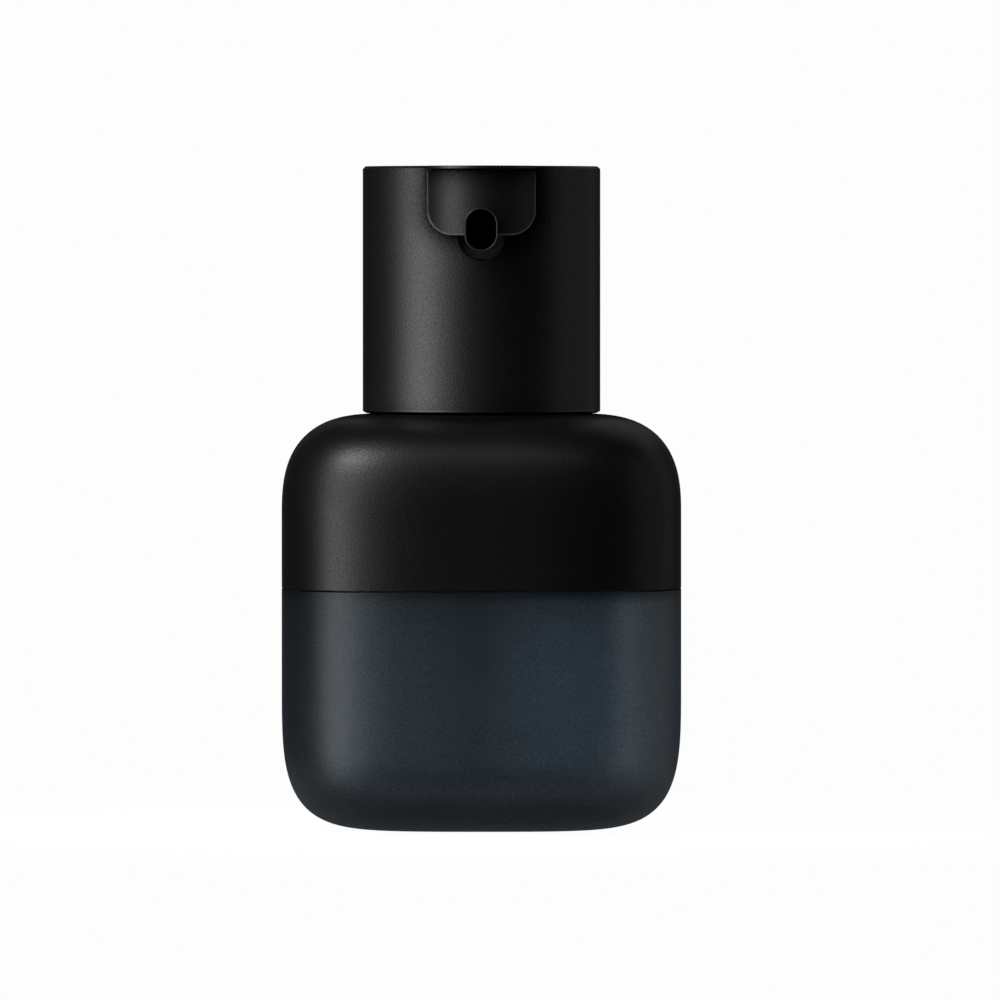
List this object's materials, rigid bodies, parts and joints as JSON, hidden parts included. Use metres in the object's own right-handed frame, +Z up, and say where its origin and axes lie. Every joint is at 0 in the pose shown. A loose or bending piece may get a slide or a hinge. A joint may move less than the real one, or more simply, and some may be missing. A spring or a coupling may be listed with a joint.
{
  "type": "foundation bottle",
  "caption": "Rounded-square frosted glass bottle with a matte black shoulder cover and a treatment pump; its nozzle and button slide down in a fixed sleeve to dose liquid make-up.",
  "frame": {"origin": "middle of the flat foot that the bottle stands on", "axes": "+Z up along the pump's axis, the nozzle faces -Y, +X to the right seen from the front"},
  "size_m": [0.044, 0.044, 0.0729],
  "materials": {
    "frosted_glass": "acid-frosted, tinted dark navy",
    "black_shell": "soft matte, fine grain",
    "black_gloss": "polished",
    "black_resin": "moulded",
    "natural_resin": "natural, milky",
    "seal_rubber": "soft",
    "spring_steel": "drawn wire"
  },
  "bodies": {
    "bottle": {"glass_bottle": "frosted_glass", "shoulder_cover": "black_shell"},
    "pump_body": {"neck_gasket": "seal_rubber", "pump_housing": "natural_resin", "stem_guide": "natural_resin", "stem_wiper": "seal_rubber", "ball_cage": "natural_resin", "pump_spring": "spring_steel", "dip_tube": "natural_resin"},
    "head": {"screw_collar": "black_resin", "shroud": "black_shell"},
    "plunger": {"actuator": "black_resin", "finger_pad": "black_shell", "nozzle_nose": "black_shell", "nozzle_tip": "black_gloss", "stem": "natural_resin", "stem_plug": "natural_resin"},
    "sliding_piston": {"piston": "natural_resin"},
    "valve_ball": {"check_ball": "spring_steel"}
  },
  "joints": [
    {"name": "pump_rise", "type": "slide", "parent": "bottle", "child": "pump_body", "axis": [0, 0, 1], "range_m": [0, 0.00398]},
    {"name": "collar_unscrew", "type": "hinge", "parent": "pump_body", "child": "head", "pos_m": [0, 0, 0.05], "axis": [0, 0, 1], "range_deg": [0, 451]},
    {"name": "actuator_press", "type": "slide", "parent": "head", "child": "plunger", "axis": [0, 0, -1], "range_m": [0, 0.0028], "stiffness_N_per_m": 800, "springref_m": -0.004, "deforming": ["pump_spring"]},
    {"name": "piston_slip", "type": "slide", "parent": "plunger", "child": "sliding_piston", "axis": [0, 0, 1], "range_m": [0, 0.0005]},
    {"name": "ball_lift", "type": "slide", "parent": "pump_body", "child": "valve_ball", "axis": [0, 0, 1], "range_m": [0, 0.00075]}
  ],
  "couplings": [
    {"joint": "collar_unscrew", "follows": "pump_rise", "rad_per_m": 1975.8}
  ]
}
